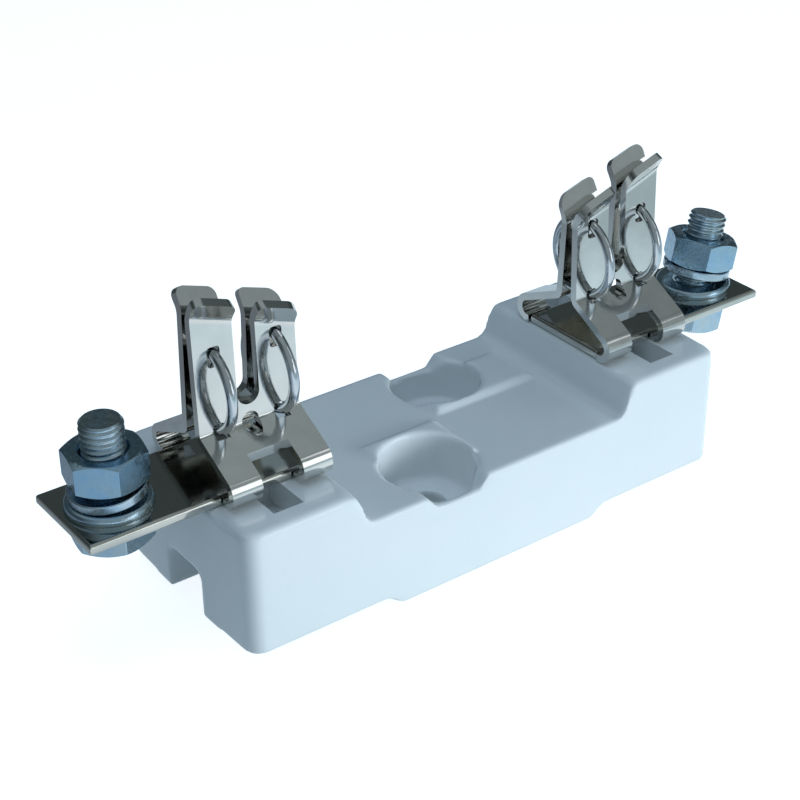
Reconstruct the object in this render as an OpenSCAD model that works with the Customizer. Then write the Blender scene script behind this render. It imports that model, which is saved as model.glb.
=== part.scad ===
// NH fuse base: a glazed ceramic body with a raised block at each end, a
// plated terminal strip on each block, sprung knife contacts that take the
// blades of a fuse link, and a threaded stud with nut and washers at each end.
// X runs along the body, -Y is the front, and Z = 0 is the underside.

/* [Body] */
// Length of the body at its corners
body_l = 141; // [138:1:146]
// Width of the body
body_w = 56; // [55:1:60]
// Height of the end blocks
block_h = 34.6; // [33:0.2:37]
// Height of the middle between the blocks
middle_h = 26; // [24:0.5:28]
// Length of a block, from its end to the foot of its inner slope
block_l = 32; // [31:0.25:33]
// Length of an inner slope
slope_l = 3; // [2:0.25:4]
// How far the end faces bulge outwards
end_bulge = 1.1; // [0.4:0.1:1.6]
// Radius of the upright corners
corner_r = 3.5; // [2:0.5:5]
// Length of the pad under the middle
pad_l = 59; // [56:1:62]
// Height of the end feet above the underside of the pad
foot_rise = 2.8; // [1.5:0.1:3.5]

/* [Mounting holes] */
// Distance between the two holes along the body
hole_dx = 25; // [25:0.5:26]
// Distance between the two holes across the body
hole_dy = 30; // [28:0.5:31]
// Diameter of the holes
hole_d = 9; // [6:0.5:10]
// Radius of a screw pocket at its rim
pocket_r = 11.8; // [11:0.1:12]
// Depth of a screw pocket
pocket_depth = 11; // [8:0.5:13]
// Height of the raised pads beside the pockets
relief_h = 1.2; // [0.6:0.1:1.6]
// Depth of the openings in the front and rear walls
notch_depth = 3.3; // [2:0.1:4]

/* [Terminals] */
// How far a terminal strip reaches past the corners of the body
overhang = 29.5; // [28.5:0.25:31]
// Distance of a stud from the end of its strip
stud_in = 11.5; // [10.5:0.25:12.5]
// Width of a terminal strip
strip_w = 25.8; // [25:0.2:26]
// Thickness of a terminal strip
strip_t = 2.5; // [2:0.1:3]
// Thread diameter of a stud
stud_d = 10; // [9:0.5:10]
// Height of the stud's tip over the strip
stud_rise = 21.3; // [21:0.1:24]
// Lean of the right stud in its hole
stud_lean = 12; // [10:0.5:12]
// Width across flats of the nut and of the stud's head
hex_af = 17; // [16.5:0.5:18]
// Height of the nut
nut_h = 8; // [7:0.5:8]
// Height of the stud's head
head_h = 6.4; // [5:0.2:7]
// Outer diameter of the flat washer
flat_od = 20; // [19:0.5:21]
// Thickness of the flat washer
flat_t = 2; // [1.6:0.1:2.2]
// Outer diameter of the spring washer
spring_od = 18; // [17:0.5:18.5]
// Thickness of the spring washer
spring_t = 2.2; // [2:0.1:2.4]

/* [Contacts] */
// Distance of a contact from its end of the body
contact_in = 15.65; // [15:0.05:16.5]
// Width of a jaw
jaw_w = 26.2; // [25:0.2:26.4]
// Thickness of the jaw sheet
sheet_t = 2; // [1.6:0.1:2.2]
// Gap between the two fingers of a jaw
finger_gap = 5.7; // [5:0.1:6.5]
// Height of the bottom of the finger gap over the strip
gap_bottom = 15.2; // [14:0.2:17]
// Height over the strip where the fingers flare, at the middle of the jaw
flare_h = 35.8; // [35:0.2:38]
// Slope of the finger tops, rising away from the body's middle
top_slope = 18.6; // [14:0.2:20]
// Length of the flared lip
lip_l = 5; // [4:0.25:6]
// Angle of the flared lip from the finger
lip_bend = 36; // [30:0.5:38]
// Lean of the front jaws' fingers towards the rear ones
front_lean = 1.73; // [1.5:0.01:2]
// Lean of the rear jaws' fingers towards the front ones
rear_lean = 2.77; // [2.5:0.01:3]
// Distance from the middle of the contact to the curl of a jaw
curl_y = 14; // [14:0.1:14.4]
// Outer radius of the curl
curl_r = 4; // [3.9:0.1:4.2]
// Radius of the contact spring rings
ring_r = 10; // [9.9:0.1:10.2]
// Wire thickness of the contact spring rings
wire_d = 2.5; // [2:0.1:2.6]
// Diameter of the screws that hold the strips
fixing_d = 6; // [5:0.5:6]

/* [Hidden] */
$fn = 96;
eps = 0.01;
far = 60;

// Body
body_x = body_l / 2;
body_y = body_w / 2;
mid_x = body_x - block_l;
pad_x = pad_l / 2;
pad_ramp = 4;
bulge_y = body_y - corner_r;
bulge_r = (pow(bulge_y, 2) + pow(end_bulge, 2)) / (2 * end_bulge);
hole_x = hole_dx / 2;
hole_y = hole_dy / 2;
pocket_taper = 0.8;
pocket_z = middle_h - pocket_depth;
notch_shift = 0.5;
notch_top = 8.8;
notch_low = 6;
lip_pad = [[-21.5, -17], [-1, -1.3]];
rear_pad = [[4, 2.3], [mid_x - 5.5, 17]];

// Openings in the blocks
channel_w = 14;
channel_top = 14.8;
channel_in = mid_x + 1.5;
slot_w = 7.8;
contact_x = body_x - contact_in;
slot_x = contact_x + 1.45;
slot_in = 8;
slot_out = 22.4;
slot_depth = 7;
fixing_hole_d = fixing_d + 0.6;

// Terminals
strip_x0 = mid_x + 4;
strip_x1 = body_x + overhang;
strip_z = block_h + strip_t;
stud_x = strip_x1 - stud_in;
stud_r = stud_d / 2;
stud_hole_r = stud_r + 0.75;
fit = 0.05;
hex_r = hex_af / sqrt(3);
tip_l = 0.8;
tip_r = stud_r - 0.7;
flat_bore = stud_r + 0.5;
spring_bore = stud_r + 0.3;
washer_gap = 0.02;
split_w = 1.4;
head_turn_left = 20.5;
head_turn_right = -3;

// Left stud: the nut clamps the sprung washer, which stands askew
nut_s_left = flat_t + spring_t + 2;
askew = asin((nut_s_left - flat_t - spring_t) / spring_od);
spring_mid_left = (flat_t + nut_s_left) / 2;

// Right stud: it leans, so the washers and the nut sit higher on the thread
spring_s = (flat_t + washer_gap + spring_od / 2 * sin(stud_lean)) / cos(stud_lean);
nut_s_right = spring_s + spring_t + washer_gap;
head_s = -(strip_t + washer_gap + hex_r * sin(stud_lean)) / cos(stud_lean);
stud_tip_s = stud_rise - 1;
flat_shift = flat_t / 2 * tan(stud_lean);

// Jaw profile, seen along X with the strip's top at zero
contact_shift = 0.35;
curl_z = 1.52;
curl_end = 280;
root_z = 11;
front_root = -4.85;
rear_root = -2.7;
root_bend_r = 1;
bend_steps = 5;
curl_steps = 16;
finger_l = 52;
tongue = 0.8;
mitre = sheet_t * tan(lip_bend / 2);
finger_side = jaw_w / 2;
gap_r = finger_gap / 2;
finger_mid = (finger_side + gap_r) / 2;
web_hole_d = 4.4;
web_hole_z = 11.1;
foot_gap = 10.7;
foot_gap_y = 11.6;

// Slots in the fingers where the rings pass
ring_slot_w = 3.3;
ring_slot_low = [8.7, 12.9];
ring_slot_high = [27, 32];
ring_slot_reach = 2;
ring_y = -1.2;
ring_z = 20.6;
ring_open_y = 1.5;
ring_open = asin(ring_open_y / ring_r);

// Screws from below that hold the strips
fixing_tip = 1.4;
fixing_washer_r = 6;
fixing_washer_t = 1.6;
fixing_head_r = 5;
fixing_head_h = 4;
socket_d = 4.6;
socket_depth = 2.4;

function polar(r, a) = [r * cos(a), r * sin(a)];

// Turns a flat outline so that its x and y lie along Y and Z, and extrudes it along X
module along_x(length) {
    rotate([90, 0, 90])
        linear_extrude(height = length, center = true)
            children();
}

// Turns a flat outline so that its x and y lie along X and Z, and extrudes it along Y
module along_y(length) {
    rotate([90, 0, 0])
        linear_extrude(height = length, center = true)
            children();
}

// The frame of the right stud: its axis leans out of the strip's hole
module right_stud_frame() {
    translate([stud_x, 0, strip_z])
        rotate([0, stud_lean, 0])
            children();
}

module left_stud_frame() {
    translate([-stud_x, 0, strip_z])
        children();
}

// The body seen from above: rounded corners and slightly convex ends
module plan_outline() {
    square([2 * (body_x - corner_r), 2 * body_y], center = true);
    square([2 * body_x, 2 * (body_y - corner_r)], center = true);
    for (sx = [-1, 1], sy = [-1, 1])
        translate([sx * (body_x - corner_r), sy * (body_y - corner_r)])
            circle(corner_r);
    for (sx = [-1, 1])
        intersection() {
            translate([sx * (body_x + end_bulge - bulge_r), 0])
                circle(bulge_r, $fn = 360);
            translate([sx * body_x, 0])
                square([2 * corner_r, 2 * bulge_y], center = true);
        }
}

// The body seen from the front
module side_outline() {
    reach = body_x + 2 * end_bulge;
    half = [
        [pad_x, 0], [pad_x + pad_ramp, foot_rise], [reach, foot_rise],
        [reach, block_h], [mid_x + slope_l, block_h], [mid_x, middle_h]
    ];
    polygon(concat(half, [for (i = [len(half) - 1:-1:0]) [-half[i][0], half[i][1]]]));
}

// A low pad on the middle, with sides at 45 degrees
module relief(area) {
    size = area[1] - area[0];
    centre = (area[0] + area[1]) / 2;
    translate([centre[0], centre[1], middle_h - relief_h])
        intersection() {
            along_y(body_w) relief_side(size[0] / 2);
            along_x(body_l) relief_side(size[1] / 2);
        }
}

module relief_side(half) {
    polygon([
        [-half - relief_h, 0], [half + relief_h, 0], [half + relief_h, relief_h],
        [half, 2 * relief_h], [-half, 2 * relief_h], [-half - relief_h, relief_h]
    ]);
}

// Round pocket with a through hole, and the opening in the wall beside it
module mounting_cut(side) {
    translate([side * hole_x, side * hole_y, 0]) {
        translate([0, 0, -eps])
            cylinder(d = hole_d, h = middle_h);
        translate([0, 0, pocket_z])
            cylinder(r1 = pocket_r - pocket_taper, r2 = pocket_r, h = pocket_depth + 2 * relief_h);
    }
    translate([side * (hole_x + notch_shift), side * (hole_y + body_y) / 2, middle_h])
        along_y(body_y - hole_y + 2 * eps)
            polygon([
                [-notch_low, -notch_depth], [notch_low, -notch_depth],
                [notch_top, eps], [-notch_top, eps]
            ]);
}

// Channel under a block, the strip's screw hole and the two pockets beside the strip
module block_cut(side) {
    translate([side * (channel_in + far / 2), 0, channel_top / 2 - eps])
        cube([far, channel_w, channel_top + 2 * eps], center = true);
    translate([side * contact_x, 0, channel_top - 1])
        cylinder(d = fixing_hole_d, h = block_h);
    for (sy = [-1, 1])
        translate([side * slot_x, sy * (slot_in + slot_out) / 2, block_h])
            cube([slot_w, slot_out - slot_in, 2 * slot_depth], center = true);
}

module body() {
    color("aliceblue")
        difference() {
            union() {
                intersection() {
                    linear_extrude(height = block_h)
                        plan_outline();
                    along_y(body_w + 2)
                        side_outline();
                }
                relief(lip_pad);
                relief(rear_pad);
            }
            for (side = [-1, 1]) {
                mounting_cut(side);
                block_cut(side);
            }
        }
}

// Terminal strip on the right block
module plate() {
    color("silver")
        translate([0, 0, block_h])
            difference() {
                translate([strip_x0, -strip_w / 2, 0])
                    cube([strip_x1 - strip_x0, strip_w, strip_t]);
                translate([stud_x, 0, -1])
                    cylinder(r = stud_hole_r, h = strip_t + 2);
                translate([contact_x, 0, -1])
                    cylinder(d = fixing_d + 2 * fit, h = strip_t + 2);
            }
}

module plate_left() {
    mirror([1, 0, 0])
        plate();
}

module plate_right() {
    plate();
}

// Hexagonal bolt with its head below the strip, drawn in a stud's frame
module bolt(head_top, tip, turn) {
    color("lightsteelblue") {
        rotate_extrude()
            polygon([
                [0, head_top - head_h / 2], [stud_r, head_top - head_h / 2],
                [stud_r, tip - tip_l], [tip_r, tip], [0, tip]
            ]);
        translate([0, 0, head_top - head_h])
            rotate([0, 0, turn])
                cylinder(r = hex_r, h = head_h, $fn = 6);
    }
}

module bolt_left() {
    left_stud_frame()
        bolt(-strip_t, stud_rise, head_turn_left);
}

module bolt_right() {
    right_stud_frame()
        bolt(head_s, stud_tip_s, head_turn_right);
}

module flat_washer() {
    color("lightsteelblue")
        difference() {
            cylinder(d = flat_od, h = flat_t);
            translate([0, 0, -1])
                cylinder(r = flat_bore, h = flat_t + 2);
        }
}

module flat_washer_left() {
    left_stud_frame()
        flat_washer();
}

// The right flat washer lies on the strip, round the leaning stud
module flat_washer_right() {
    translate([stud_x + flat_shift, 0, strip_z])
        flat_washer();
}

// Split spring washer; turn sets where its split is
module spring_washer(turn) {
    color("lightsteelblue")
        difference() {
            cylinder(d = spring_od, h = spring_t);
            translate([0, 0, -1])
                cylinder(r = spring_bore, h = spring_t + 2);
            rotate([0, 0, turn])
                translate([0, -split_w / 2, -1])
                    cube([spring_od, split_w, spring_t + 2]);
        }
}

module spring_washer_left() {
    left_stud_frame()
        translate([0, 0, spring_mid_left])
            rotate([0, -askew, 0])
                translate([0, 0, -spring_t / 2])
                    spring_washer(100);
}

module spring_washer_right() {
    right_stud_frame()
        translate([0, 0, spring_s])
            spring_washer(160);
}

module nut(turn) {
    color("lightsteelblue")
        difference() {
            rotate([0, 0, turn])
                cylinder(r = hex_r, h = nut_h, $fn = 6);
            translate([0, 0, -1])
                cylinder(r = stud_r + fit, h = nut_h + 2);
        }
}

module nut_left() {
    left_stud_frame()
        translate([0, 0, nut_s_left])
            nut(head_turn_left);
}

module nut_right() {
    right_stud_frame()
        translate([0, 0, nut_s_right])
            nut(head_turn_right);
}

function arc(centre, r, from, to, steps) = [
    for (i = [0:steps]) centre + polar(r, from + (to - from) * i / steps)
];

// Section through a jaw: finger, sloping apron and the curl beside the strip
module jaw_outline(root, lean) {
    curl = [-curl_y, curl_z];
    reach = root - curl;
    apron = atan2(reach[1], reach[0]) - asin(curl_r / norm(reach));
    finger = 90 - lean;
    half_turn = (finger - apron) / 2;
    bend = root - polar(root_bend_r / cos(half_turn), finger - 90 - half_turn);
    top = root + polar(finger_l, finger);
    polygon(concat(
        [top],
        arc(bend, root_bend_r, finger - 90, apron - 90, bend_steps),
        arc(curl, curl_r, apron + 90, curl_end, curl_steps),
        arc(curl, curl_r - sheet_t, curl_end, apron + 90, curl_steps),
        arc(bend, root_bend_r + sheet_t, apron - 90, finger - 90, bend_steps),
        [top + polar(sheet_t, finger - 90)]
    ));
}

// The plane of a finger's outer face, with its origin on the slanted flare line
module flare_frame(root, lean) {
    translate([0, root[0], root[1]])
        rotate([-lean, 0, 0])
            translate([0, 0, flare_h - root[1]])
                rotate([0, -top_slope, 0])
                    children();
}

// The bent lip over both fingers, with a tongue inside the finger's sheet that joins them
module lip_strip() {
    tip = polar(lip_l, 90 + lip_bend);
    along_x(2 * jaw_w)
        polygon([
            polar(-tongue, 90 + lip_bend), tip, tip + polar(sheet_t, lip_bend),
            [sheet_t, mitre], [sheet_t - tongue / 2, -tongue]
        ]);
}

// A jaw, drawn as the front one of the right contact about the contact's middle
module jaw(root, lean) {
    color("silver")
        difference() {
            union() {
                difference() {
                    along_x(jaw_w)
                        jaw_outline(root, lean);
                    flare_frame(root, lean)
                        translate([-far, -far / 2, mitre / 2])
                            cube([2 * far, far, far]);
                }
                intersection() {
                    flare_frame(root, lean)
                        lip_strip();
                    translate([-jaw_w / 2, -far / 2, 0])
                        cube([jaw_w, far, 2 * far]);
                }
            }
            finger_gap_cut();
            ring_slots(root[0] - ring_slot_reach);
            translate([0, 0, web_hole_z])
                rotate([90, 0, 0])
                    cylinder(d = web_hole_d, h = curl_y - curl_r);
            translate([-foot_gap / 2, -far - foot_gap_y, -far / 2])
                cube([foot_gap, far, far]);
        }
}

module finger_gap_cut() {
    translate([0, 0, gap_bottom + gap_r])
        rotate([90, 0, 0])
            cylinder(r = gap_r, h = far / 2, center = true);
    translate([-gap_r, -far / 4, gap_bottom + gap_r])
        cube([finger_gap, far / 2, far]);
}

module ring_slots(front) {
    for (side = [-1, 1], z = [ring_slot_low, ring_slot_high])
        translate([side * finger_mid - ring_slot_w / 2, front, z[0]])
            cube([ring_slot_w, far / 2, z[1] - z[0]]);
}

module contact_frame(side_x, side_y) {
    translate([side_x * contact_x + contact_shift, 0, strip_z])
        mirror([side_x < 0 ? 1 : 0, 0, 0])
            mirror([0, side_y > 0 ? 1 : 0, 0])
                children();
}

module jaw_front_left() {
    contact_frame(-1, -1)
        jaw([front_root, root_z], front_lean);
}

module jaw_rear_left() {
    contact_frame(-1, 1)
        jaw([rear_root, root_z], rear_lean);
}

module jaw_front_right() {
    contact_frame(1, -1)
        jaw([front_root, root_z], front_lean);
}

module jaw_rear_right() {
    contact_frame(1, 1)
        jaw([rear_root, root_z], rear_lean);
}

// Spring ring round both jaws, open at its top
module ring(offset_x) {
    color("silver")
        translate([offset_x, ring_y, ring_z])
            rotate([0, 90, 0])
                rotate([0, 0, 180 + ring_open])
                    rotate_extrude(angle = 360 - 2 * ring_open)
                        translate([ring_r, 0])
                            circle(d = wire_d, $fn = 48);
}

module ring_outer_left() {
    contact_frame(-1, -1)
        ring(finger_mid);
}

module ring_inner_left() {
    contact_frame(-1, -1)
        ring(-finger_mid);
}

module ring_outer_right() {
    contact_frame(1, -1)
        ring(finger_mid);
}

module ring_inner_right() {
    contact_frame(1, -1)
        ring(-finger_mid);
}

// Screw from below through the block into the strip
module fixing_screw() {
    head_top = channel_top - fixing_washer_t;
    color("lightsteelblue")
        difference() {
            union() {
                translate([0, 0, head_top - eps])
                    cylinder(d = fixing_d, h = strip_z + fixing_tip - head_top + eps);
                translate([0, 0, head_top - fixing_head_h])
                    cylinder(r = fixing_head_r, h = fixing_head_h);
            }
            translate([0, 0, head_top - fixing_head_h - 1])
                cylinder(d = socket_d, h = socket_depth + 1);
        }
}

module fixing_washer() {
    color("lightsteelblue")
        translate([0, 0, channel_top - fixing_washer_t])
            difference() {
                cylinder(r = fixing_washer_r, h = fixing_washer_t);
                translate([0, 0, -1])
                    cylinder(d = fixing_d + 2 * fit, h = fixing_washer_t + 2);
            }
}

module fixing_screw_left() {
    translate([-contact_x, 0, 0])
        fixing_screw();
}

module fixing_washer_left() {
    translate([-contact_x, 0, 0])
        fixing_washer();
}

module fixing_screw_right() {
    translate([contact_x, 0, 0])
        fixing_screw();
}

module fixing_washer_right() {
    translate([contact_x, 0, 0])
        fixing_washer();
}

body();
plate_left();
plate_right();
bolt_left();
flat_washer_left();
spring_washer_left();
nut_left();
bolt_right();
flat_washer_right();
spring_washer_right();
nut_right();
jaw_front_left();
jaw_rear_left();
jaw_front_right();
jaw_rear_right();
ring_outer_left();
ring_inner_left();
ring_outer_right();
ring_inner_right();
fixing_screw_left();
fixing_washer_left();
fixing_screw_right();
fixing_washer_right();
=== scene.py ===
"""A ceramic fuse base: glazed body, plated strips and jaws, wire rings, zinc plated studs."""

import math

import bmesh
import bpy
from mathutils import Matrix, Vector


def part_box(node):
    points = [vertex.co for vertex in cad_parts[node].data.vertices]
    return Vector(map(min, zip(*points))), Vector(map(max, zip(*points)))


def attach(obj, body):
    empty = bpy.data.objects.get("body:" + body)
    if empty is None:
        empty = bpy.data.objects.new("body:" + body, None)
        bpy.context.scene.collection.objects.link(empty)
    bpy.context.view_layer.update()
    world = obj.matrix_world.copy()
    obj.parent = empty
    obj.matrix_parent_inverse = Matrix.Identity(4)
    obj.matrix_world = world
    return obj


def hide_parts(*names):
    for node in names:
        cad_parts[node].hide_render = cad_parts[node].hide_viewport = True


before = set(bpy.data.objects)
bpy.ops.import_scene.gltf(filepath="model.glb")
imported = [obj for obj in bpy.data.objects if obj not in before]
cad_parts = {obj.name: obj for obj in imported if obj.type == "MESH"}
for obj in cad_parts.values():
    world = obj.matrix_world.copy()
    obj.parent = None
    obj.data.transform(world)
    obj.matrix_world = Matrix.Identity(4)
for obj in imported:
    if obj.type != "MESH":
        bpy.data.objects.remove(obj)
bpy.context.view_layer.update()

# Sizes in millimetres, as on the solids
METRE = 0.001
NEAR = 0.01


def box_mm(node):
    low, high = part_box(node)
    return low / METRE, high / METRE


body_high = box_mm("body")[1]
strip_low, strip_high = box_mm("plate_right")
jaw_low, jaw_high = box_mm("jaw_front_right")
washer_low, washer_high = box_mm("flat_washer_left")

# Cutting tools reach clear of the body, and of the strips
BELOW = -5
ABOVE = 40
STRIP_TOOL = (30, 45)

# Body
BODY_HALF_W = body_high.y
BLOCK_TOP = body_high.z
END_BULGE = 1.1
END_ROWS = 8
BODY_HALF_L = body_high.x - END_BULGE
CORNER_R = 3.5
MIDDLE_TOP = 26
SLOPE_FOOT = 38.5
SLOPE_TOP = 41.5
SLOPE_TOP_BEVEL = 1.5
SLOPE_FOOT_BEVEL = 2.1
PAD_HALF = 29.5
PAD_RAMP = 4
FOOT_RISE = 2.8
HOLE_AT = Vector((12.5, 15))
HOLE_R = 4.5
POCKET_R = 11.8
POCKET_FLOOR = 15
POCKET_TAPER = 0.932
NOTCH_SHIFT = 0.5
NOTCH_HALF_L = 6
NOTCH_TOP_HALF_L = 11.6
NOTCH_DEPTH = 3.3
RELIEF_H = 1.2
FRONT_RELIEF = ((-21.5, -17), (-1, -1.3))
REAR_RELIEF = ((4, 2.3), (33, 17))
RECESS_AT = Vector((1.45, 15.2))
RECESS_HALF = Vector((3.9, 7.2))
RECESS_DEPTH = 7
CHANNEL_HALF_W = 7
CHANNEL_TOP = 14.8
CHANNEL_IN = 40
CHANNEL_OUT = 90
CHANNEL_BEVEL = 2.5
BODY_SCREW_HOLE_R = 3.3
VOXEL = 0.62
EASE_REACH = 3

# Strips
STRIP_Z = strip_high.z
STRIP_T = strip_high.z - strip_low.z
STRIP_TOP_BEVEL = 0.9
STRIP_UNDER_BEVEL = 0.6
STRIP_SCREW_HOLE_R = 3.05
STUD_HOLE_PLAY = 0.75

# Studs, nuts and washers
STUD_X = -(washer_low.x + washer_high.x) / 2
STUD_R = 5
STUD_LEAN = math.radians(12)
PITCH = 1.5
THREAD_DEPTH = 0.6
THREAD_CHAMFER = 0.9
THREAD_TIP_SHARE = 0.83
HEX_R = 17 / math.sqrt(3)
HEX_CHAMFER = 1.0
HEX_END_SHARE = 0.835
HEAD_H = 6.4
HEAD_OVERLAP = 0.5
NUT_H = 8
SINK_DEPTH = 1
SINK_SHARE = 1.14
FLAT_R = 10
FLAT_T = 2
FLAT_RIM_R = 1.2
SPRING_R = 9
SPRING_T = 2.2
SPRING_HALF_GAP = 0.7
SEAT_GAP = 0.02
LEFT_SPRING_MID = 4.1
LEFT_NUT_S = 6.2

# Jaws, each seen along X with the strip's top at zero
CONTACT_SHIFT = 0.35
CONTACT_X = (jaw_low.x + jaw_high.x) / 2 - CONTACT_SHIFT
JAW_HALF_W = (jaw_high.x - jaw_low.x) / 2
SHEET_T = 2
FRONT_JAW = (-4.85, math.radians(1.73))
REAR_JAW = (-2.7, math.radians(2.77))
ROOT_Z = 11
ROOT_BEND_R = 1.0
ROOT_BEND_STEPS = 5
CURL = Vector((-14, 1.52))
CURL_R = 4
CURL_END = math.radians(280)
CURL_STEPS = 16
FLARE_H = 35.8
TOP_SLOPE = math.radians(18.6)
LIP_BEND = math.radians(36)
LIP_L = 5
LIP_CORNER_R = 2.8
LIP_GAP_CORNER_R = 1.8
LIP_CORNER_Z = FLARE_H + 2.5
BEND_L = 2.4
BEND_STEPS = 6
GAP_R = 2.85
GAP_BOTTOM = 15.2
WEB_HOLE_R = 2.2
WEB_HOLE_Z = 11.1
FOOT_GAP_HALF_W = 5.35
FOOT_GAP_Y = -11.6
FINGER_MID = (JAW_HALF_W + GAP_R) / 2

# Wire rings and their slots
RING_R = 10
WIRE_R = 1.25
RING_Y = -1.2
RING_Z = 20.6
RING_OPEN_Y = 1.5
RING_SLOT_HALF_W = 1.65
RING_SLOT_R = 0.9
RING_SLOT_REACH = 2
RING_SLOT_HEIGHTS = ((8.7, 12.9), (27, 32))

SIDES = (("left", -1), ("right", 1))
ON_ITS_SIDE = Matrix.Rotation(math.pi / 2, 4, "X")


# Modelling helpers

def deselect():
    bpy.ops.object.select_all(action="DESELECT")


def only(piece):
    deselect()
    piece.select_set(True)
    bpy.context.view_layer.objects.active = piece


def edit(piece):
    only(piece)
    bpy.ops.object.mode_set(mode="EDIT")


def leave_edit():
    bpy.ops.object.mode_set(mode="OBJECT")


def pick(kind, test):
    """Selects the vertices or faces whose corners all pass the test, or edges by both ends."""
    bpy.ops.mesh.select_mode(type=kind)
    bpy.ops.mesh.select_all(action="DESELECT")
    shell = bmesh.from_edit_mesh(bpy.context.edit_object.data)
    parts = {"VERT": shell.verts, "EDGE": shell.edges, "FACE": shell.faces}[kind]
    for part in parts:
        corners = [part.co] if kind == "VERT" else [v.co for v in part.verts]
        part.select_set(test(*corners) if kind == "EDGE" else all(test(c) for c in corners))
    bmesh.update_edit_mesh(bpy.context.edit_object.data)


def pick_all():
    bpy.ops.mesh.select_all(action="SELECT")


def slice_at(point, normal, **keep):
    pick_all()
    bpy.ops.mesh.bisect(plane_co=point, plane_no=normal, **keep)


def shift(vector):
    bpy.ops.transform.translate(value=vector)


def widen(x, y):
    bpy.ops.transform.resize(value=(x, y, 1))


def push(vector):
    """Extrudes what is selected by the vector."""
    bpy.ops.mesh.extrude_region_move(TRANSFORM_OT_translate={"value": vector})


def bevel(width, segments):
    bpy.ops.mesh.bevel(offset=width, segments=segments, affect="EDGES")


def turn_outwards():
    pick_all()
    bpy.ops.mesh.normals_make_consistent(inside=False)


def join_doubles(limit):
    pick_all()
    bpy.ops.mesh.remove_doubles(threshold=limit)


def renamed(piece, name):
    piece.name = name
    piece.data.name = name
    return piece


def active(name):
    return renamed(bpy.context.active_object, name)


def set_in_place(piece):
    only(piece)
    bpy.ops.object.transform_apply(location=True, rotation=True, scale=True)


def block(name, low, high):
    low, high = Vector(low), Vector(high)
    deselect()
    bpy.ops.mesh.primitive_cube_add(size=1, location=(low + high) / 2)
    piece = active(name)
    piece.scale = high - low
    set_in_place(piece)
    return piece


def drum(name, radius, low, high, centre=(0, 0), sides=96, turn=0):
    """An upright cylinder from height low to high."""
    deselect()
    bpy.ops.mesh.primitive_cylinder_add(
        vertices=sides, radius=radius, depth=high - low,
        location=(centre[0], centre[1], (low + high) / 2), rotation=(0, 0, turn),
    )
    piece = active(name)
    set_in_place(piece)
    return piece


def turned(piece, matrix):
    piece.matrix_world = matrix @ piece.matrix_world
    set_in_place(piece)
    return piece


def swept_round(piece, axis, opening):
    """Sweeps a flat section about the axis, short of a full turn by the opening at each end."""
    edit(piece)
    pick_all()
    bpy.ops.mesh.spin(
        steps=96, angle=2 * (opening - math.pi), center=(0, 0, 0), axis=axis,
        use_auto_merge=False,
    )
    join_doubles(0.001)
    turn_outwards()
    leave_edit()


def modify(piece, kind, **settings):
    only(piece)
    step = piece.modifiers.new(kind.title(), kind)
    for key, value in settings.items():
        setattr(step, key, value)
    bpy.ops.object.modifier_apply(modifier=step.name)


def discard(piece):
    bpy.data.objects.remove(piece, do_unlink=True)


def boolean(piece, tool, operation="DIFFERENCE"):
    modify(piece, "BOOLEAN", object=tool, operation=operation, solver="EXACT")
    discard(tool)


def shade(piece, angle=40):
    only(piece)
    bpy.ops.object.shade_smooth_by_angle(angle=math.radians(angle))


def soften(piece, width, segments=2, angle=40):
    """Rounds the edges sharper than angle."""
    modify(
        piece, "BEVEL", width=width, segments=segments, limit_method="ANGLE",
        angle_limit=math.radians(angle), use_clamp_overlap=True, miter_outer="MITER_ARC",
    )
    shade(piece)


def repeated(piece, name, matrix):
    """A copy with its own mesh, put in place by the matrix; a mirror image keeps its faces out."""
    twin = piece.copy()
    twin.data = piece.data.copy()
    renamed(twin, name)
    bpy.context.collection.objects.link(twin)
    twin.data.transform(matrix)
    if matrix.determinant() < 0:
        twin.data.flip_normals()
    return twin


def finished(piece, node, body, material):
    """Brings a piece to metres, gives it its finish, and lets it stand for its solid."""
    only(piece)
    piece.scale = (METRE, METRE, METRE)
    set_in_place(piece)
    if node != "body":
        modify(piece, "WEIGHTED_NORMAL", keep_sharp=True, weight=100)
    piece.data.materials.clear()
    piece.data.materials.append(material)
    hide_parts(node)
    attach(piece, body)
    return piece


# Finishes

def put(tree, socket, value):
    """Links a socket's value, or sets a plain one."""
    if isinstance(value, bpy.types.NodeSocket):
        tree.links.new(value, socket)
    else:
        socket.default_value = value


def mixed(tree, factor, first, second, blend="MIX"):
    mix = tree.nodes.new("ShaderNodeMix")
    mix.data_type = "RGBA"
    mix.blend_type = blend
    for index, value in ((0, factor), (6, first), (7, second)):
        put(tree, mix.inputs[index], value)
    return mix.outputs[2]


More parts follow.
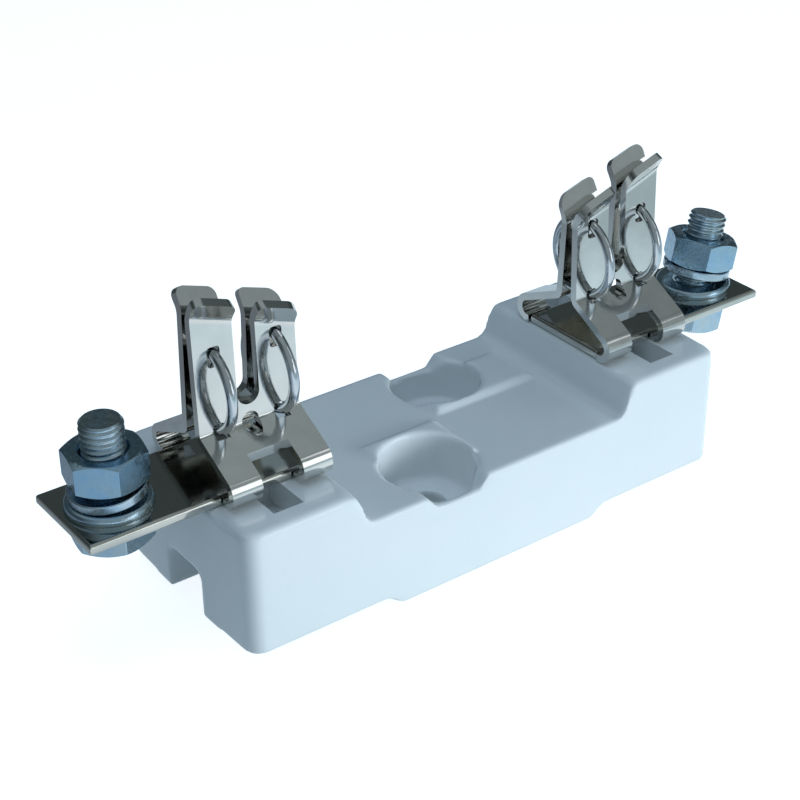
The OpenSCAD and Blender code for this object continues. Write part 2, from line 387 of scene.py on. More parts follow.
class Finish:
    """A material with a principled shader, and helpers for patterns on Object coordinates."""

    def __init__(self, name, colour, metallic, roughness):
        self.material = bpy.data.materials.new(name)
        self.material.use_nodes = True
        self.tree = self.material.node_tree
        self.shader = self.tree.nodes["Principled BSDF"]
        self.shader.inputs["Base Color"].default_value = (*colour, 1)
        self.shader.inputs["Metallic"].default_value = metallic
        self.shader.inputs["Roughness"].default_value = roughness
        self.place = self.tree.nodes.new("ShaderNodeTexCoord").outputs["Object"]

    def put(self, socket, value):
        put(self.tree, socket, value)

    def node(self, kind, **inputs):
        made = self.tree.nodes.new(kind)
        for key, value in inputs.items():
            self.put(made.inputs[key.replace("_", " ")], value)
        return made

    def stretched(self, scale):
        return self.node("ShaderNodeMapping", Vector=self.place, Scale=scale).outputs["Vector"]

    def noise(self, scale, detail=3, stretch=None):
        """Noise with scale in cells a metre."""
        place = self.stretched(stretch) if stretch else self.place
        made = self.node(
            "ShaderNodeTexNoise", Vector=place, Scale=scale, Detail=detail, Roughness=0.55)
        return made.outputs["Fac"]

    def ramp(self, factor, *stops):
        """Colours or greys at given places along the factor."""
        made = self.node("ShaderNodeValToRGB", Fac=factor)
        while len(made.color_ramp.elements) < len(stops):
            made.color_ramp.elements.new(0.5)
        for element, (at, shade_at) in zip(made.color_ramp.elements, stops, strict=True):
            element.position = at
            colour = shade_at if isinstance(shade_at, tuple) else (shade_at,) * 3
            element.color = (*colour, 1)
        return made.outputs["Color"]

    def colour(self, socket):
        self.put(self.shader.inputs["Base Color"], socket)

    def rough(self, socket):
        self.put(self.shader.inputs["Roughness"], socket)

    def bump(self, height, strength, distance, after=None):
        """Adds a bump, on top of the one that is given as after."""
        made = self.node("ShaderNodeBump", Height=height, Strength=strength, Distance=distance)
        if after:
            self.put(made.inputs["Normal"], after)
        self.put(self.shader.inputs["Normal"], made.outputs["Normal"])
        return made.outputs["Normal"]

    def show(self, shader):
        self.put(self.tree.nodes["Material Output"].inputs[0], shader)


def glaze():
    """White glaze: faint clouds and specks in the colour, a slightly wavy gloss."""
    look = Finish("glaze", (0.87, 0.90, 0.91), 0, 0.16)
    clouds = look.ramp(
        look.noise(45, 4), (0.3, (0.86, 0.89, 0.90)), (0.72, (0.89, 0.91, 0.92)))
    specks = look.ramp(look.noise(1500, 2), (0.70, (1, 1, 1)), (0.80, (0.80, 0.79, 0.76)))
    look.colour(mixed(look.tree, 0.5, clouds, specks, "MULTIPLY"))
    look.rough(look.ramp(look.noise(260, 4), (0.35, 0.14), (0.7, 0.26)))
    waves = look.bump(look.noise(190, 2), 0.12, 0.0006)
    look.bump(look.noise(2600, 2), 0.05, 0.0001, waves)
    look.shader.inputs["Coat Weight"].default_value = 0.7
    look.shader.inputs["Coat Roughness"].default_value = 0.08
    look.shader.inputs["IOR"].default_value = 1.52
    return look.material


def nickel(name, colour, grain, smooth, worn):
    """Bright nickel: rolling grain along one direction, cloudy gloss and fine scratches."""
    look = Finish(name, colour, 1, smooth)
    dull = tuple(c * 0.90 for c in colour)
    look.colour(look.ramp(look.noise(120, 4), (0.32, dull), (0.66, colour)))
    look.rough(look.ramp(look.noise(420, 5, grain), (0.30, smooth), (0.78, worn)))
    rolled = look.bump(look.noise(2200, 3, grain), 0.10, 0.00008)
    look.bump(look.noise(130, 2), 0.07, 0.0006, rolled)
    return look.material


def zinc(name, colour, roughness):
    """Blue zinc plating: bluish with faint yellow and violet patches and a matt bloom."""
    look = Finish(name, colour, 1, roughness)
    warm = (colour[0] * 1.10, colour[1] * 1.02, colour[2] * 0.90)
    cool = (colour[0] * 0.84, colour[1] * 0.94, colour[2] * 1.04)
    look.colour(look.ramp(look.noise(210, 4), (0.30, cool), (0.52, colour), (0.74, warm)))
    bloom = look.noise(900, 5)
    look.rough(look.ramp(bloom, (0.32, roughness - 0.08), (0.74, roughness + 0.14)))
    pits = look.bump(look.noise(3200, 3), 0.14, 0.0001)
    look.bump(look.noise(500, 2), 0.12, 0.0003, pits)
    return look.material


GLAZE = glaze()
STRIP = nickel("strip_nickel", (0.60, 0.60, 0.56), (0.25, 1, 1), smooth=0.08, worn=0.15)
JAW = nickel("jaw_nickel", (0.70, 0.70, 0.68), (1, 1, 0.2), smooth=0.07, worn=0.14)
WIRE = nickel("wire_nickel", (0.60, 0.64, 0.68), (1, 0.3, 0.3), smooth=0.07, worn=0.15)
STUD = zinc("stud_zinc", (0.48, 0.60, 0.68), 0.26)
NUT = zinc("nut_zinc", (0.37, 0.54, 0.68), 0.20)
WASHER = zinc("washer_zinc", (0.48, 0.62, 0.72), 0.22)
SPRING = zinc("spring_zinc", (0.48, 0.60, 0.70), 0.24)
SCREW = zinc("screw_zinc", (0.50, 0.56, 0.60), 0.30)


# The ceramic body

def raised_pad(low, high):
    """A low pad with sides at 45 degrees, standing in the middle's top."""
    pad = block("pad", (*low, MIDDLE_TOP - RELIEF_H), (*high, MIDDLE_TOP + RELIEF_H))
    edit(pad)
    pick("FACE", lambda c: c.z < MIDDLE_TOP)
    widen(*((s + 4 * RELIEF_H) / s for s in Vector(high) - Vector(low)))
    leave_edit()
    return pad


def upright_corner(a, b):
    """True for the four upright edges at the corners of the plan."""
    outer = all(
        abs(c.x) > BODY_HALF_L - 0.1 and abs(c.y) > BODY_HALF_W - 0.1 for c in (a, b))
    return outer and abs(a.z - b.z) > 5


def body_blank():
    """The block with its raised ends, feet, bulged end faces and rounded edges."""
    blank = block("body", (-BODY_HALF_L, -BODY_HALF_W, 0), (BODY_HALF_L, BODY_HALF_W, BLOCK_TOP))
    edit(blank)
    for x in (PAD_HALF, PAD_HALF + PAD_RAMP, SLOPE_FOOT, SLOPE_TOP):
        slice_at((x, 0, 0), (1, 0, 0))
        slice_at((-x, 0, 0), (1, 0, 0))
    pick("VERT", lambda c: c.z < 0.1 and abs(c.x) > PAD_HALF + PAD_RAMP / 2)
    shift((0, 0, FOOT_RISE))
    pick("VERT", lambda c: c.z > BLOCK_TOP - 0.1 and abs(c.x) < SLOPE_FOOT + 0.1)
    shift((0, 0, MIDDLE_TOP - BLOCK_TOP))
    rows = [BODY_HALF_W * k / END_ROWS for k in range(1 - END_ROWS, END_ROWS)]
    for y in rows:
        slice_at((0, y, 0), (0, 1, 0))
    for y in rows:
        out = END_BULGE * (1 - (y / BODY_HALF_W) ** 2)
        for side in (-1, 1):
            end = side * BODY_HALF_L
            pick("VERT", lambda c: abs(c.x - end) < NEAR and abs(c.y - y) < NEAR)
            shift((side * out, 0, 0))
    pick("EDGE", upright_corner)
    bevel(CORNER_R, 6)
    slopes = (
        (SLOPE_TOP, BLOCK_TOP, SLOPE_TOP_BEVEL), (SLOPE_FOOT, MIDDLE_TOP, SLOPE_FOOT_BEVEL))
    for x, z, width in slopes:
        pick("EDGE", lambda *ends: all(
            abs(abs(c.x) - x) < 0.05 and abs(c.z - z) < 0.05 for c in ends))
        bevel(width, 4)
    leave_edit()
    return blank


def pocket_tool(side):
    """The round pocket, a little narrower at its floor."""
    tool = drum("pocket", POCKET_R, POCKET_FLOOR, ABOVE, side * HOLE_AT)
    edit(tool)
    slice_at((0, 0, MIDDLE_TOP), (0, 0, 1))
    pick("FACE", lambda c: c.z < POCKET_FLOOR + 0.1)
    widen(POCKET_TAPER, POCKET_TAPER)
    leave_edit()
    return tool


def notch_tool(side):
    """The opening in the wall beside a pocket, wider at its top."""
    near, far = sorted((side * HOLE_AT.y, side * (BODY_HALF_W + 2)))
    x = side * (HOLE_AT.x + NOTCH_SHIFT)
    tool = block(
        "notch", (x - NOTCH_HALF_L, near, MIDDLE_TOP - NOTCH_DEPTH),
        (x + NOTCH_HALF_L, far, MIDDLE_TOP + NOTCH_DEPTH))
    edit(tool)
    pick("VERT", lambda c: c.z > MIDDLE_TOP)
    widen(NOTCH_TOP_HALF_L / NOTCH_HALF_L, 1)
    leave_edit()
    return tool


def channel_tool(side):
    """The channel under one block, open at the body's end."""
    low, high = sorted((side * CHANNEL_IN, side * CHANNEL_OUT))
    tool = block(
        "channel", (low, -CHANNEL_HALF_W, BELOW), (high, CHANNEL_HALF_W, CHANNEL_TOP))
    edit(tool)
    pick("EDGE", lambda a, b: min(a.z, b.z) > CHANNEL_TOP - 0.1 and abs(a.x - b.x) > 5)
    bevel(CHANNEL_BEVEL, 5)
    leave_edit()
    return tool


def recess_tool():
    """The four pockets under the curls, beside the strips."""
    tools = []
    for side_x in (-1, 1):
        for side_y in (-1, 1):
            x = side_x * (CONTACT_X + RECESS_AT.x)
            middle = Vector((x, side_y * RECESS_AT.y))
            low, high = middle - RECESS_HALF, middle + RECESS_HALF
            tools.append(block("recess", (*low, BLOCK_TOP - RECESS_DEPTH), (*high, ABOVE)))
    only(tools[0])
    for tool in tools:
        tool.select_set(True)
    bpy.ops.object.join()
    return tools[0]


def eased(c):
    """True where the casting's edges are well rounded: the top edges of its end blocks."""
    on_top = c.z > BLOCK_TOP - EASE_REACH and abs(c.x) > SLOPE_TOP - EASE_REACH
    at_side = abs(c.y) > BODY_HALF_W - EASE_REACH
    return on_top and (at_side or abs(c.x) > BODY_HALF_L - EASE_REACH)


def ceramic_body():
    """The cut blank, remeshed and smoothed as a casting; the recesses keep their sharp edges."""
    body = body_blank()
    boolean(body, raised_pad(*FRONT_RELIEF), "UNION")
    boolean(body, raised_pad(*REAR_RELIEF), "UNION")
    for side in (-1, 1):
        boolean(body, pocket_tool(side))
        boolean(body, notch_tool(side))
        boolean(body, drum("through", HOLE_R, BELOW, 30, side * HOLE_AT))
        boolean(body, channel_tool(side))
        boolean(body, drum("screw_hole", BODY_SCREW_HOLE_R, 10, ABOVE, (side * CONTACT_X, 0)))
    modify(body, "REMESH", mode="VOXEL", voxel_size=VOXEL)
    ease = body.vertex_groups.new(name="ease")
    ease.add([v.index for v in body.data.vertices if eased(v.co)], 1, "REPLACE")
    modify(body, "SMOOTH", factor=0.5, iterations=24, vertex_group="ease")
    modify(body, "SMOOTH", factor=0.5, iterations=6)
    boolean(body, recess_tool())
    shade(body)
    return body


finished(ceramic_body(), "body", "base", GLAZE)


# Terminal strips

def strip():
    """The right strip, with sheared edges and its two holes."""
    sheet = block("strip", strip_low, strip_high)
    boolean(sheet, drum("stud_hole", STUD_R + STUD_HOLE_PLAY, *STRIP_TOOL, (STUD_X, 0)))
    boolean(sheet, drum("screw_hole", STRIP_SCREW_HOLE_R, *STRIP_TOOL, (CONTACT_X, 0)))
    edit(sheet)
    for z, width in ((strip_high.z, STRIP_TOP_BEVEL), (strip_low.z, STRIP_UNDER_BEVEL)):
        pick("EDGE", lambda a, b: abs(a.z - z) + abs(b.z - z) < NEAR and (a - b).length > 20)
        bevel(width, 4)
    leave_edit()
    soften(sheet, 0.25)
    return sheet


right_strip = strip()
left_strip = repeated(right_strip, "strip_left", Matrix.Scale(-1, 4, (1, 0, 0)))
finished(right_strip, "plate_right", "base", STRIP)
finished(left_strip, "plate_left", "base", STRIP)


# Jaws, made as the front one of the right contact about the contact's middle

def polar(radius, angle):
    return Vector((radius * math.cos(angle), radius * math.sin(angle)))


def sheet_line(root, lean):
    """The jaw's outer face seen along X, from the end of the curl up to the fingers' root."""
    reach = root - CURL
    apron = math.atan2(reach.y, reach.x) - math.asin(CURL_R / reach.length)
    quarter = math.pi / 2
    finger = quarter - lean
    half_turn = (finger - apron) / 2
    corner = root - polar(ROOT_BEND_R / math.cos(half_turn), finger - quarter - half_turn)
    curl_turn = (apron + quarter - CURL_END) / CURL_STEPS
    curl = [CURL + polar(CURL_R, CURL_END + curl_turn * k) for k in range(CURL_STEPS + 1)]
    bend_turn = (finger - apron) / ROOT_BEND_STEPS
    bend = [
        corner + polar(ROOT_BEND_R, apron - quarter + bend_turn * k)
        for k in range(ROOT_BEND_STEPS + 1)
    ]
    return curl + bend


def fold_direction(angle, lean):
    """Direction of the sheet past the slanted flare line, bent outwards by the angle."""
    along = Vector((math.cos(TOP_SLOPE), 0, math.sin(TOP_SLOPE)))
    up = Vector((-math.sin(TOP_SLOPE), 0, math.cos(TOP_SLOPE)))
    bent = up * math.cos(angle) + Vector((0, -1, 0)) * math.sin(angle)
    upright_edge = along * math.sin(TOP_SLOPE) + bent * math.cos(TOP_SLOPE)
    return Matrix.Rotation(-lean, 3, "X") @ upright_edge


def jaw_sheet(root, lean):
    """The bent sheet: a line across the jaw, pushed along the curl, apron, fingers and lips."""
    line = sheet_line(root, lean)
    deselect()
    bpy.ops.mesh.primitive_plane_add(size=2 * JAW_HALF_W, location=(0, JAW_HALF_W, 0))
    sheet = active("jaw")
    set_in_place(sheet)
    edit(sheet)
    pick("VERT", lambda c: c.y > 1)
    bpy.ops.mesh.delete(type="VERT")
    bpy.ops.mesh.select_mode(type="EDGE")
    pick_all()
    shift((0, *line[0]))
    for a, b in zip(line, line[1:], strict=False):
        push((0, *(b - a)))
    height = FLARE_H - BEND_L / 2
    top = root + polar((height - root.y) / math.cos(lean), math.pi / 2 - lean)
    push((0, *(top - line[-1])))
    tilt = math.tan(TOP_SLOPE) * JAW_HALF_W
    for side in (-1, 1):
        pick("VERT", lambda c: c.z > top.y - NEAR + min(0, side * tilt) and side * c.x > 1)
        shift((0, side * tilt * math.tan(lean), side * tilt))
    pick("EDGE", lambda a, b: min(a.z, b.z) > top.y - tilt - NEAR and abs(a.x - b.x) > 1)
    for k in range(BEND_STEPS):
        angle = LIP_BEND * (k + 0.5) / BEND_STEPS
        push(fold_direction(angle, lean) * (BEND_L / BEND_STEPS))
    push(fold_direction(LIP_BEND, lean) * (LIP_L / math.cos(TOP_SLOPE) - BEND_L / 2))
    leave_edit()
    facing = min(sheet.data.polygons, key=lambda f: abs(f.center.z - 20)).normal.y
    if facing > 0:
        sheet.data.flip_normals()
    modify(
        sheet, "SOLIDIFY", thickness=SHEET_T, offset=-1, use_even_offset=True,
        use_quality_normals=True)
    return sheet


def ring_slot(x, front, low, high):
    """A slot for the ring's wire, with rounded corners."""
    tool = block(
        "ring_slot", (x - RING_SLOT_HALF_W, front, low), (x + RING_SLOT_HALF_W, 6, high))
    edit(tool)
    pick("EDGE", lambda a, b: abs(a.y - b.y) > 5)
    bevel(RING_SLOT_R, 4)
    leave_edit()
    return tool


def lip_corner(a, b, by_gap):
    """True for the short edges through the sheet at the lips' corners, by the gap or outside."""
    top = LIP_CORNER_Z + math.tan(TOP_SLOPE) * (a.x + b.x) / 2
    through = abs((a - b).length - SHEET_T) < 0.3 and abs(a.x - b.x) < 0.5
    return min(a.z, b.z) > top and through and (abs(a.x) < GAP_R + 1) == by_gap


def jaw(root_y, lean):
    sheet = jaw_sheet(Vector((root_y, ROOT_Z)), lean)
    gap_low = GAP_BOTTOM + GAP_R
    slot = drum("slot", GAP_R, -8, 8, sides=64)
    boolean(sheet, turned(slot, Matrix.Translation((0, -4, gap_low)) @ ON_ITS_SIDE))
    boolean(sheet, block("gap", (-GAP_R, -12, gap_low), (GAP_R, 6, 60)))
    web = drum("web", WEB_HOLE_R, -5, 5, sides=48)
    boolean(sheet, turned(web, Matrix.Translation((0, -5, WEB_HOLE_Z)) @ ON_ITS_SIDE))
    feet = block("feet", (-FOOT_GAP_HALF_W, -30, -10), (FOOT_GAP_HALF_W, FOOT_GAP_Y, 20))
    boolean(sheet, feet)
    for side in (-1, 1):
        for low, high in RING_SLOT_HEIGHTS:
            boolean(sheet, ring_slot(side * FINGER_MID, root_y - RING_SLOT_REACH, low, high))
    edit(sheet)
    for by_gap, radius in ((False, LIP_CORNER_R), (True, LIP_GAP_CORNER_R)):
        pick("EDGE", lambda a, b: lip_corner(a, b, by_gap))
        bevel(radius, 6)
    leave_edit()
    soften(sheet, 0.3, segments=3, angle=35)
    return sheet


def contact_frame(side_x, side_y):
    mirror = Matrix.Diagonal((side_x, -side_y, 1, 1))
    return Matrix.Translation((side_x * CONTACT_X + CONTACT_SHIFT, 0, STRIP_Z)) @ mirror


for row, side_y, shape in (("front", -1, FRONT_JAW), ("rear", 1, REAR_JAW)):
    base_jaw = jaw(*shape)
    for end, side_x in SIDES:
        name = f"jaw_{row}_{end}"
        finished(
            repeated(base_jaw, name + "_sheet", contact_frame(side_x, side_y)),
            name, name + "_body", JAW)
    discard(base_jaw)


# Wire rings

def ring():
    """Round wire swept about X, open at the top."""
    opening = math.asin(RING_OPEN_Y / RING_R)
    deselect()
    bpy.ops.mesh.primitive_circle_add(vertices=24, radius=WIRE_R, fill_type="NGON")
    wire = active("ring")
    start = Matrix.Rotation(opening, 4, "X") @ Matrix.Translation((0, 0, RING_R))
    turned(wire, start @ ON_ITS_SIDE)
    swept_round(wire, (1, 0, 0), opening)
    soften(wire, 0.3, segments=3, angle=60)
    return wire


base_ring = ring()
for end, side_x in SIDES:
    for place, out in (("outer", 1), ("inner", -1)):
        x = side_x * (CONTACT_X + out * FINGER_MID) + CONTACT_SHIFT
        spot = Matrix.Translation((x, RING_Y, STRIP_Z + RING_Z))
        name = f"ring_{place}_{end}"
        finished(
            repeated(base_ring, name + "_wire", spot), name, "base", WIRE)
discard(base_ring)


# Studs, nuts and washers, made upright with the strip's top at zero

def threaded_rod(low, high):
    """A right-hand thread swept by a screw, cut level at both ends and chamfered at its tip."""
    root, crest = STUD_R - THREAD_DEPTH, STUD_R
    # Radius and height over one pitch
    profile = [
        (root, 0), (root, 0.12), (crest, 0.64), (crest, 0.82), (root, 1.34), (root, PITCH)]
    deselect()
    bpy.ops.mesh.primitive_plane_add(size=2, location=(0, 0, 0))
    rod = active("thread")
    edit(rod)
    pick("VERT", lambda c: c.x < 0 or c.y < 0)
    bpy.ops.mesh.delete(type="VERT")
    pick_all()
    shift((root - 1, -1, low - 2 * PITCH))
    for a, b in zip(profile, profile[1:], strict=False):
        push((b[0] - a[0], 0, b[1] - a[1]))
    leave_edit()
    turns = math.ceil((high - low) / PITCH) + 4
    modify(
        rod, "SCREW", angle=2 * math.pi, screw_offset=PITCH, iterations=turns, steps=48,
        render_steps=48, axis="Z", use_merge_vertices=False)
    edit(rod)
    join_doubles(0.002)
    slice_at((0, 0, low), (0, 0, 1), clear_inner=True, use_fill=True)
    slice_at((0, 0, high), (0, 0, 1), clear_outer=True, use_fill=True)
    turn_outwards()
    leave_edit()
    gauge = drum("gauge", STUD_R + 0.2, low - 1, high - THREAD_CHAMFER)
    edit(gauge)
    pick("FACE", lambda c: c.z > high - 1)
    push((0, 0, THREAD_CHAMFER))
    widen(THREAD_TIP_SHARE, THREAD_TIP_SHARE)
    leave_edit()
    boolean(rod, gauge, "INTERSECT")
    return rod


def hexagon(low, high, turn, both_ends):
    """A hexagon bar with the corners turned off at 30 degrees, at its top or at both ends."""
    piece = drum("hexagon", HEX_R, low, high, sides=6, turn=math.radians(turn + 90))
    inner_low, inner_high = low + HEX_CHAMFER * both_ends, high - HEX_CHAMFER
    gauge = drum("gauge", HEX_R + 0.05, inner_low, inner_high)
    edit(gauge)
    ends = [(inner_high, HEX_CHAMFER)] + [(inner_low, -HEX_CHAMFER)] * both_ends
    for at, step in ends:
        pick("FACE", lambda c: abs(c.z - at) < NEAR)
        push((0, 0, step))
        widen(HEX_END_SHARE, HEX_END_SHARE)
    leave_edit()
    boolean(piece, gauge, "INTERSECT")
    return piece


def bolt(name, head_top, tip, turn):
    """A hexagon bolt whose head hangs below the height head_top, its thread pointing up."""
    head = hexagon(-head_top, -head_top + HEAD_H, turn, False)
    turned(head, Matrix.Scale(-1, 4, (0, 0, 1)))
    head.data.flip_normals()
    soften(head, 0.2)
    rod = threaded_rod(head_top - HEAD_OVERLAP, tip)
    shade(rod, 25)
    only(head)
    rod.select_set(True)
    bpy.ops.object.join()
    return active(name)


def nut(name, turn):
    """A nut with turned-off corners and a countersunk bore."""
    body = hexagon(0, NUT_H, turn, True)
    bore = drum("bore", STUD_R + 0.05, SINK_DEPTH, NUT_H - SINK_DEPTH, sides=64)
    edit(bore)
    for at, step in ((NUT_H - SINK_DEPTH, SINK_DEPTH), (SINK_DEPTH, -SINK_DEPTH)):
        pick("FACE", lambda c: abs(c.z - at) < NEAR)
        push((0, 0, step))
        widen(SINK_SHARE, SINK_SHARE)
        push((0, 0, step))
    leave_edit()
    boolean(body, bore)
    soften(body, 0.3, segments=3)
    return renamed(body, name)


def flat_washer(name):
    """A stamped washer: its upper rim is rolled over."""
    disc = drum(name, FLAT_R, 0, FLAT_T, sides=128)
    edit(disc)
    pick("EDGE", lambda a, b: min(a.z, b.z) > FLAT_T - 0.1 and a.xy.length > FLAT_R - 1)
    bevel(FLAT_RIM_R, 5)
    leave_edit()
    boolean(disc, drum("bore", STUD_R + 0.5, -1, FLAT_T + 1))
    soften(disc, 0.18, angle=50)
    return disc


def spring_washer(name, split):
    """A square section swept most of the way round, its ends on either side of the split."""
    inner = STUD_R + 0.3
    mean = (inner + SPRING_R) / 2
    opening = math.asin(SPRING_HALF_GAP / mean)
    deselect()
    bpy.ops.mesh.primitive_plane_add(size=1)
    coil = active(name)
    coil.scale = (SPRING_R - inner, SPRING_T, 1)
    set_in_place(coil)
    start = Matrix.Rotation(math.radians(split) + opening, 4, "Z")
    turned(coil, start @ Matrix.Translation((mean, 0, SPRING_T / 2)) @ ON_ITS_SIDE)
    swept_round(coil, (0, 0, 1), opening)
    soften(coil, 0.6, segments=4, angle=50)
    return coil


def stack(end, ground, head_top, tip, turn, nut_s, split, washer_place, spring_place):
    """The bolt, washers and nut of one terminal; ground takes the stud's frame to the base's."""
    nut_place = ground @ Matrix.Translation((0, 0, nut_s))
    finished(
        turned(bolt(f"bolt_{end}_thread", head_top, tip, turn), ground),
        "bolt_" + end, "base", STUD)
    finished(
        turned(nut(f"nut_{end}_hex", turn), nut_place),
        "nut_" + end, f"nut_{end}_body", NUT)
    finished(
        turned(flat_washer(f"flat_washer_{end}_disc"), washer_place),
        "flat_washer_" + end, "washers_" + end, WASHER)
    finished(
        turned(spring_washer(f"spring_washer_{end}_coil", split), spring_place),
        "spring_washer_" + end, "washers_" + end, SPRING)


# The left stud stands upright and its spring washer askew, about the washer's middle
upright = Matrix.Translation((-STUD_X, 0, STRIP_Z))
askew = (
    Matrix.Translation((0, 0, LEFT_SPRING_MID))
    @ Matrix.Rotation(-math.asin(FLAT_T / (2 * SPRING_R)), 4, "Y")
    @ Matrix.Translation((0, 0, -SPRING_T / 2)))
stack(
    "left", upright, head_top=-STRIP_T, tip=21.3, turn=20.5, nut_s=LEFT_NUT_S, split=100,
    washer_place=upright, spring_place=upright @ askew)

# The right stud leans, while its flat washer lies on the strip
leaning = Matrix.Translation((STUD_X, 0, STRIP_Z)) @ Matrix.Rotation(STUD_LEAN, 4, "Y")
lift = math.sin(STUD_LEAN)
spring_s = (FLAT_T + SEAT_GAP + SPRING_R * lift) / math.cos(STUD_LEAN)
head_s = -(STRIP_T + SEAT_GAP + HEX_R * lift) / math.cos(STUD_LEAN)
stack(
    "right", leaning, head_top=head_s, tip=20.3, turn=-3, nut_s=spring_s + SPRING_T + SEAT_GAP,
    split=160,
    washer_place=Matrix.Translation((STUD_X + math.tan(STUD_LEAN), 0, STRIP_Z)),
    spring_place=leaning @ Matrix.Translation((0, 0, spring_s)))


# Screws under the blocks, kept as solids with a plated finish
for end, _ in SIDES:
    for kind in ("fixing_screw_", "fixing_washer_"):
        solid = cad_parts[kind + end]
        solid.data.materials.clear()
        solid.data.materials.append(SCREW)


# Camera, floor, light

AIM = Vector((0, 0, 0.02))
ROOM_COOL = (0.30, 0.35, 0.36, 1)
ROOM_DIM = (0.05, 0.065, 0.068, 1)
ROOM_LIGHT = (0.155, 0.21, 0.245, 1)
WINDOW_SHADE = (1.5, 1.6, 1.65)


def camera():
    """The photograph's camera, as fitted to its corners and curves."""
    lens = bpy.data.cameras.new("camera")
    lens.sensor_width = 36
    lens.lens = 79.78
    lens.shift_x = -0.0210
    lens.shift_y = -0.0226
    lens.clip_start = 0.01
    eye = bpy.data.objects.new("camera", lens)
    bpy.context.collection.objects.link(eye)
    yaw, pitch, roll = (math.radians(a) for a in (36.607, -29.590, -0.305))
    level = Vector((math.sin(yaw), math.cos(yaw), 0))
    ahead = level * math.cos(pitch) + Vector((0, 0, math.sin(pitch)))
    right = Vector((math.cos(yaw), -math.sin(yaw), 0))
    up = right.cross(ahead)
    side = right * math.cos(roll) + up * math.sin(roll)
    top = up * math.cos(roll) - right * math.sin(roll)
    turn = Matrix((side, top, -ahead)).transposed().to_4x4()
    eye.matrix_world = Matrix.Translation(Vector((-227.886, -300.781, 251.31)) * METRE) @ turn
    bpy.context.scene.camera = eye


def floor_material():
    """White to the camera under the object's shadow; reflections see a painted glow of window
    light on it, brightest in a band by the piece.
    """
    look = Finish("floor", (0.80, 0.84, 0.88), 0, 0.9)
    tree = look.tree
    white = look.node("ShaderNodeEmission", Color=(0.93, 0.97, 1.0, 1), Strength=0.86)
    lit = tree.nodes.new("ShaderNodeAddShader")
    look.put(lit.inputs[0], look.shader.outputs[0])
    look.put(lit.inputs[1], white.outputs[0])
    near = tree.nodes.new("ShaderNodeVectorMath")
    near.operation = "DOT_PRODUCT"
    look.put(near.inputs[0], look.place)
    look.put(near.inputs[1], (1.2, -1.6, 0))
    spread = look.node("ShaderNodeMath")
    look.put(spread.inputs[0], near.outputs["Value"])
    look.put(spread.inputs[1], 0.5)
    # Painted light: an emitted band that only reflections see, standing in for window light on the
    # floor
    painted_light_shades = look.ramp(
        spread.outputs[0],
        (0.20, (0.16, 0.19, 0.22)), (0.44, (0.50, 0.64, 0.75)), (0.56, (0.95, 1.05, 1.12)),
        (0.80, (0.72, 0.90, 0.99)), (0.92, (0.44, 0.56, 0.61)))
    painted_window_light = look.node("ShaderNodeEmission", Color=painted_light_shades, Strength=1)
    path = tree.nodes.new("ShaderNodeLightPath")
    made = look.shader.outputs[0]
    for seen, shader in (("Is Camera Ray", lit), ("Is Glossy Ray", painted_window_light)):
        mix = tree.nodes.new("ShaderNodeMixShader")
        look.put(mix.inputs[0], path.outputs[seen])
        look.put(mix.inputs[1], made)
        look.put(mix.inputs[2], shader.outputs[0])
        made = mix.outputs[0]
    look.show(made)
    return look.material


def floor():
    deselect()
    bpy.ops.mesh.primitive_plane_add(size=12, location=(0, 0, -0.0002))
    ground = active("floor")
    ground.data.materials.append(floor_material())


def towards_aim(place):
    return (AIM - Vector(place)).to_track_quat("-Z", "Y").to_euler()


def soft_light(name, place, size, power, colour):
    """A lamp that lights the piece but isn't seen in its reflections."""
    lamp = bpy.data.lights.new(name, "AREA")
    lamp.shape = "RECTANGLE"
    lamp.size, lamp.size_y = size
    lamp.energy = power
    lamp.color = colour
    holder = bpy.data.objects.new(name, lamp)
    bpy.context.collection.objects.link(holder)
    holder.location = place
    holder.rotation_euler = towards_aim(place)
    holder.visible_glossy = False


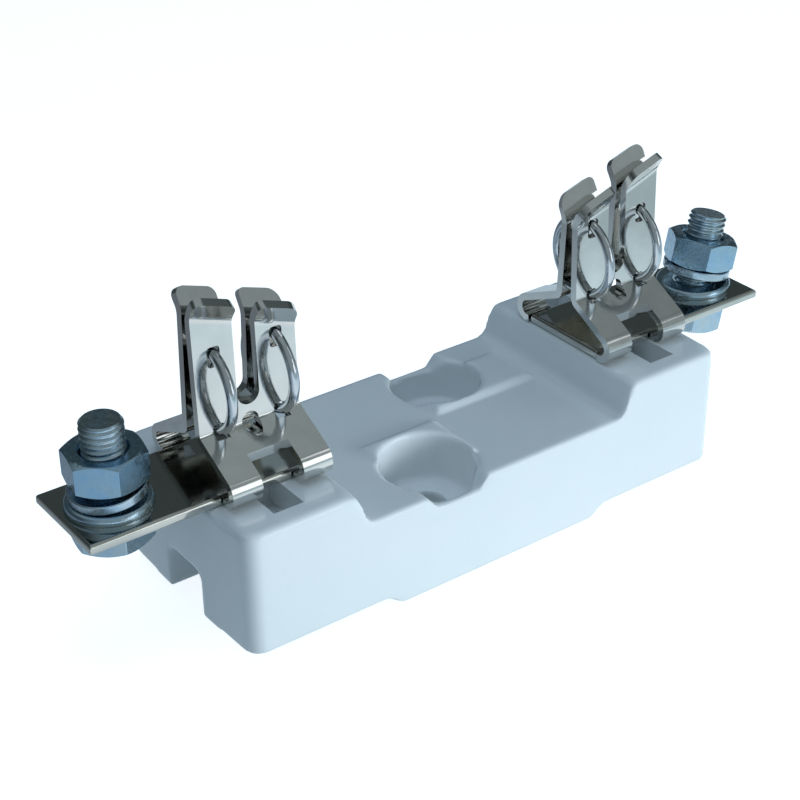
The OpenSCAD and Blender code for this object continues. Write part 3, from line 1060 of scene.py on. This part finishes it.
def bright_card(name, centre, size, shade_of_card):
    """A card that only reflections see, where the window is."""
    deselect()
    bpy.ops.mesh.primitive_plane_add(size=1, location=centre)
    card = active(name)
    card.scale = (*size, 1)
    card.rotation_euler = towards_aim(centre)
    look = Finish(name, shade_of_card, 0, 1)
    glow = look.node("ShaderNodeEmission", Color=(*shade_of_card, 1), Strength=1)
    look.show(glow.outputs[0])
    card.data.materials.append(look.material)
    card.visible_camera = False
    card.visible_diffuse = False
    card.visible_shadow = False
    card.visible_transmission = False


def ranged(tree, value, low, high):
    """The value as a share of the way from low to high."""
    made = tree.nodes.new("ShaderNodeMapRange")
    put(tree, made.inputs["Value"], value)
    made.inputs["From Min"].default_value = low
    made.inputs["From Max"].default_value = high
    return made.outputs[0]


def sky():
    """White to the camera; reflections see a dim room, paler overhead and in front."""
    world = bpy.data.worlds.new("sky")
    bpy.context.scene.world = world
    world.use_nodes = True
    tree = world.node_tree
    direction = tree.nodes.new("ShaderNodeSeparateXYZ")
    put(tree, direction.inputs[0], tree.nodes.new("ShaderNodeTexCoord").outputs["Generated"])
    most = tree.nodes.new("ShaderNodeMath")
    most.operation = "MAXIMUM"
    put(tree, most.inputs[0], ranged(tree, direction.outputs["Y"], 0.1, -0.6))
    put(tree, most.inputs[1], ranged(tree, direction.outputs["Z"], 0.60, 0.86))
    room = mixed(tree, most.outputs[0], ROOM_DIM, ROOM_COOL)
    path = tree.nodes.new("ShaderNodeLightPath").outputs
    shown = mixed(tree, path["Is Glossy Ray"], ROOM_LIGHT, room)
    shown = mixed(tree, path["Is Camera Ray"], shown, (1, 1, 1, 1))
    put(tree, tree.nodes["Background"].inputs["Color"], shown)


camera()
floor()
sky()
soft_light("window", (0.65, -1.15, 0.15), (1.5, 0.34), 15.2, (0.83, 0.97, 1.04))
soft_light("overhead", (-0.03, 0, 0.45), (0.3, 0.3), 0.35, (0.75, 0.95, 1.20))
bright_card("window_low", (0.48, -1.19, 0.24), (0.65, 0.40), WINDOW_SHADE)
bright_card("window_middle", (0.58, -1.10, 0.51), (0.36, 0.38), WINDOW_SHADE)
bright_card("window_high", (0.74, -0.76, 0.94), (0.26, 0.56), (0.9, 0.96, 1.0))
bpy.context.scene.view_settings.view_transform = "Standard"
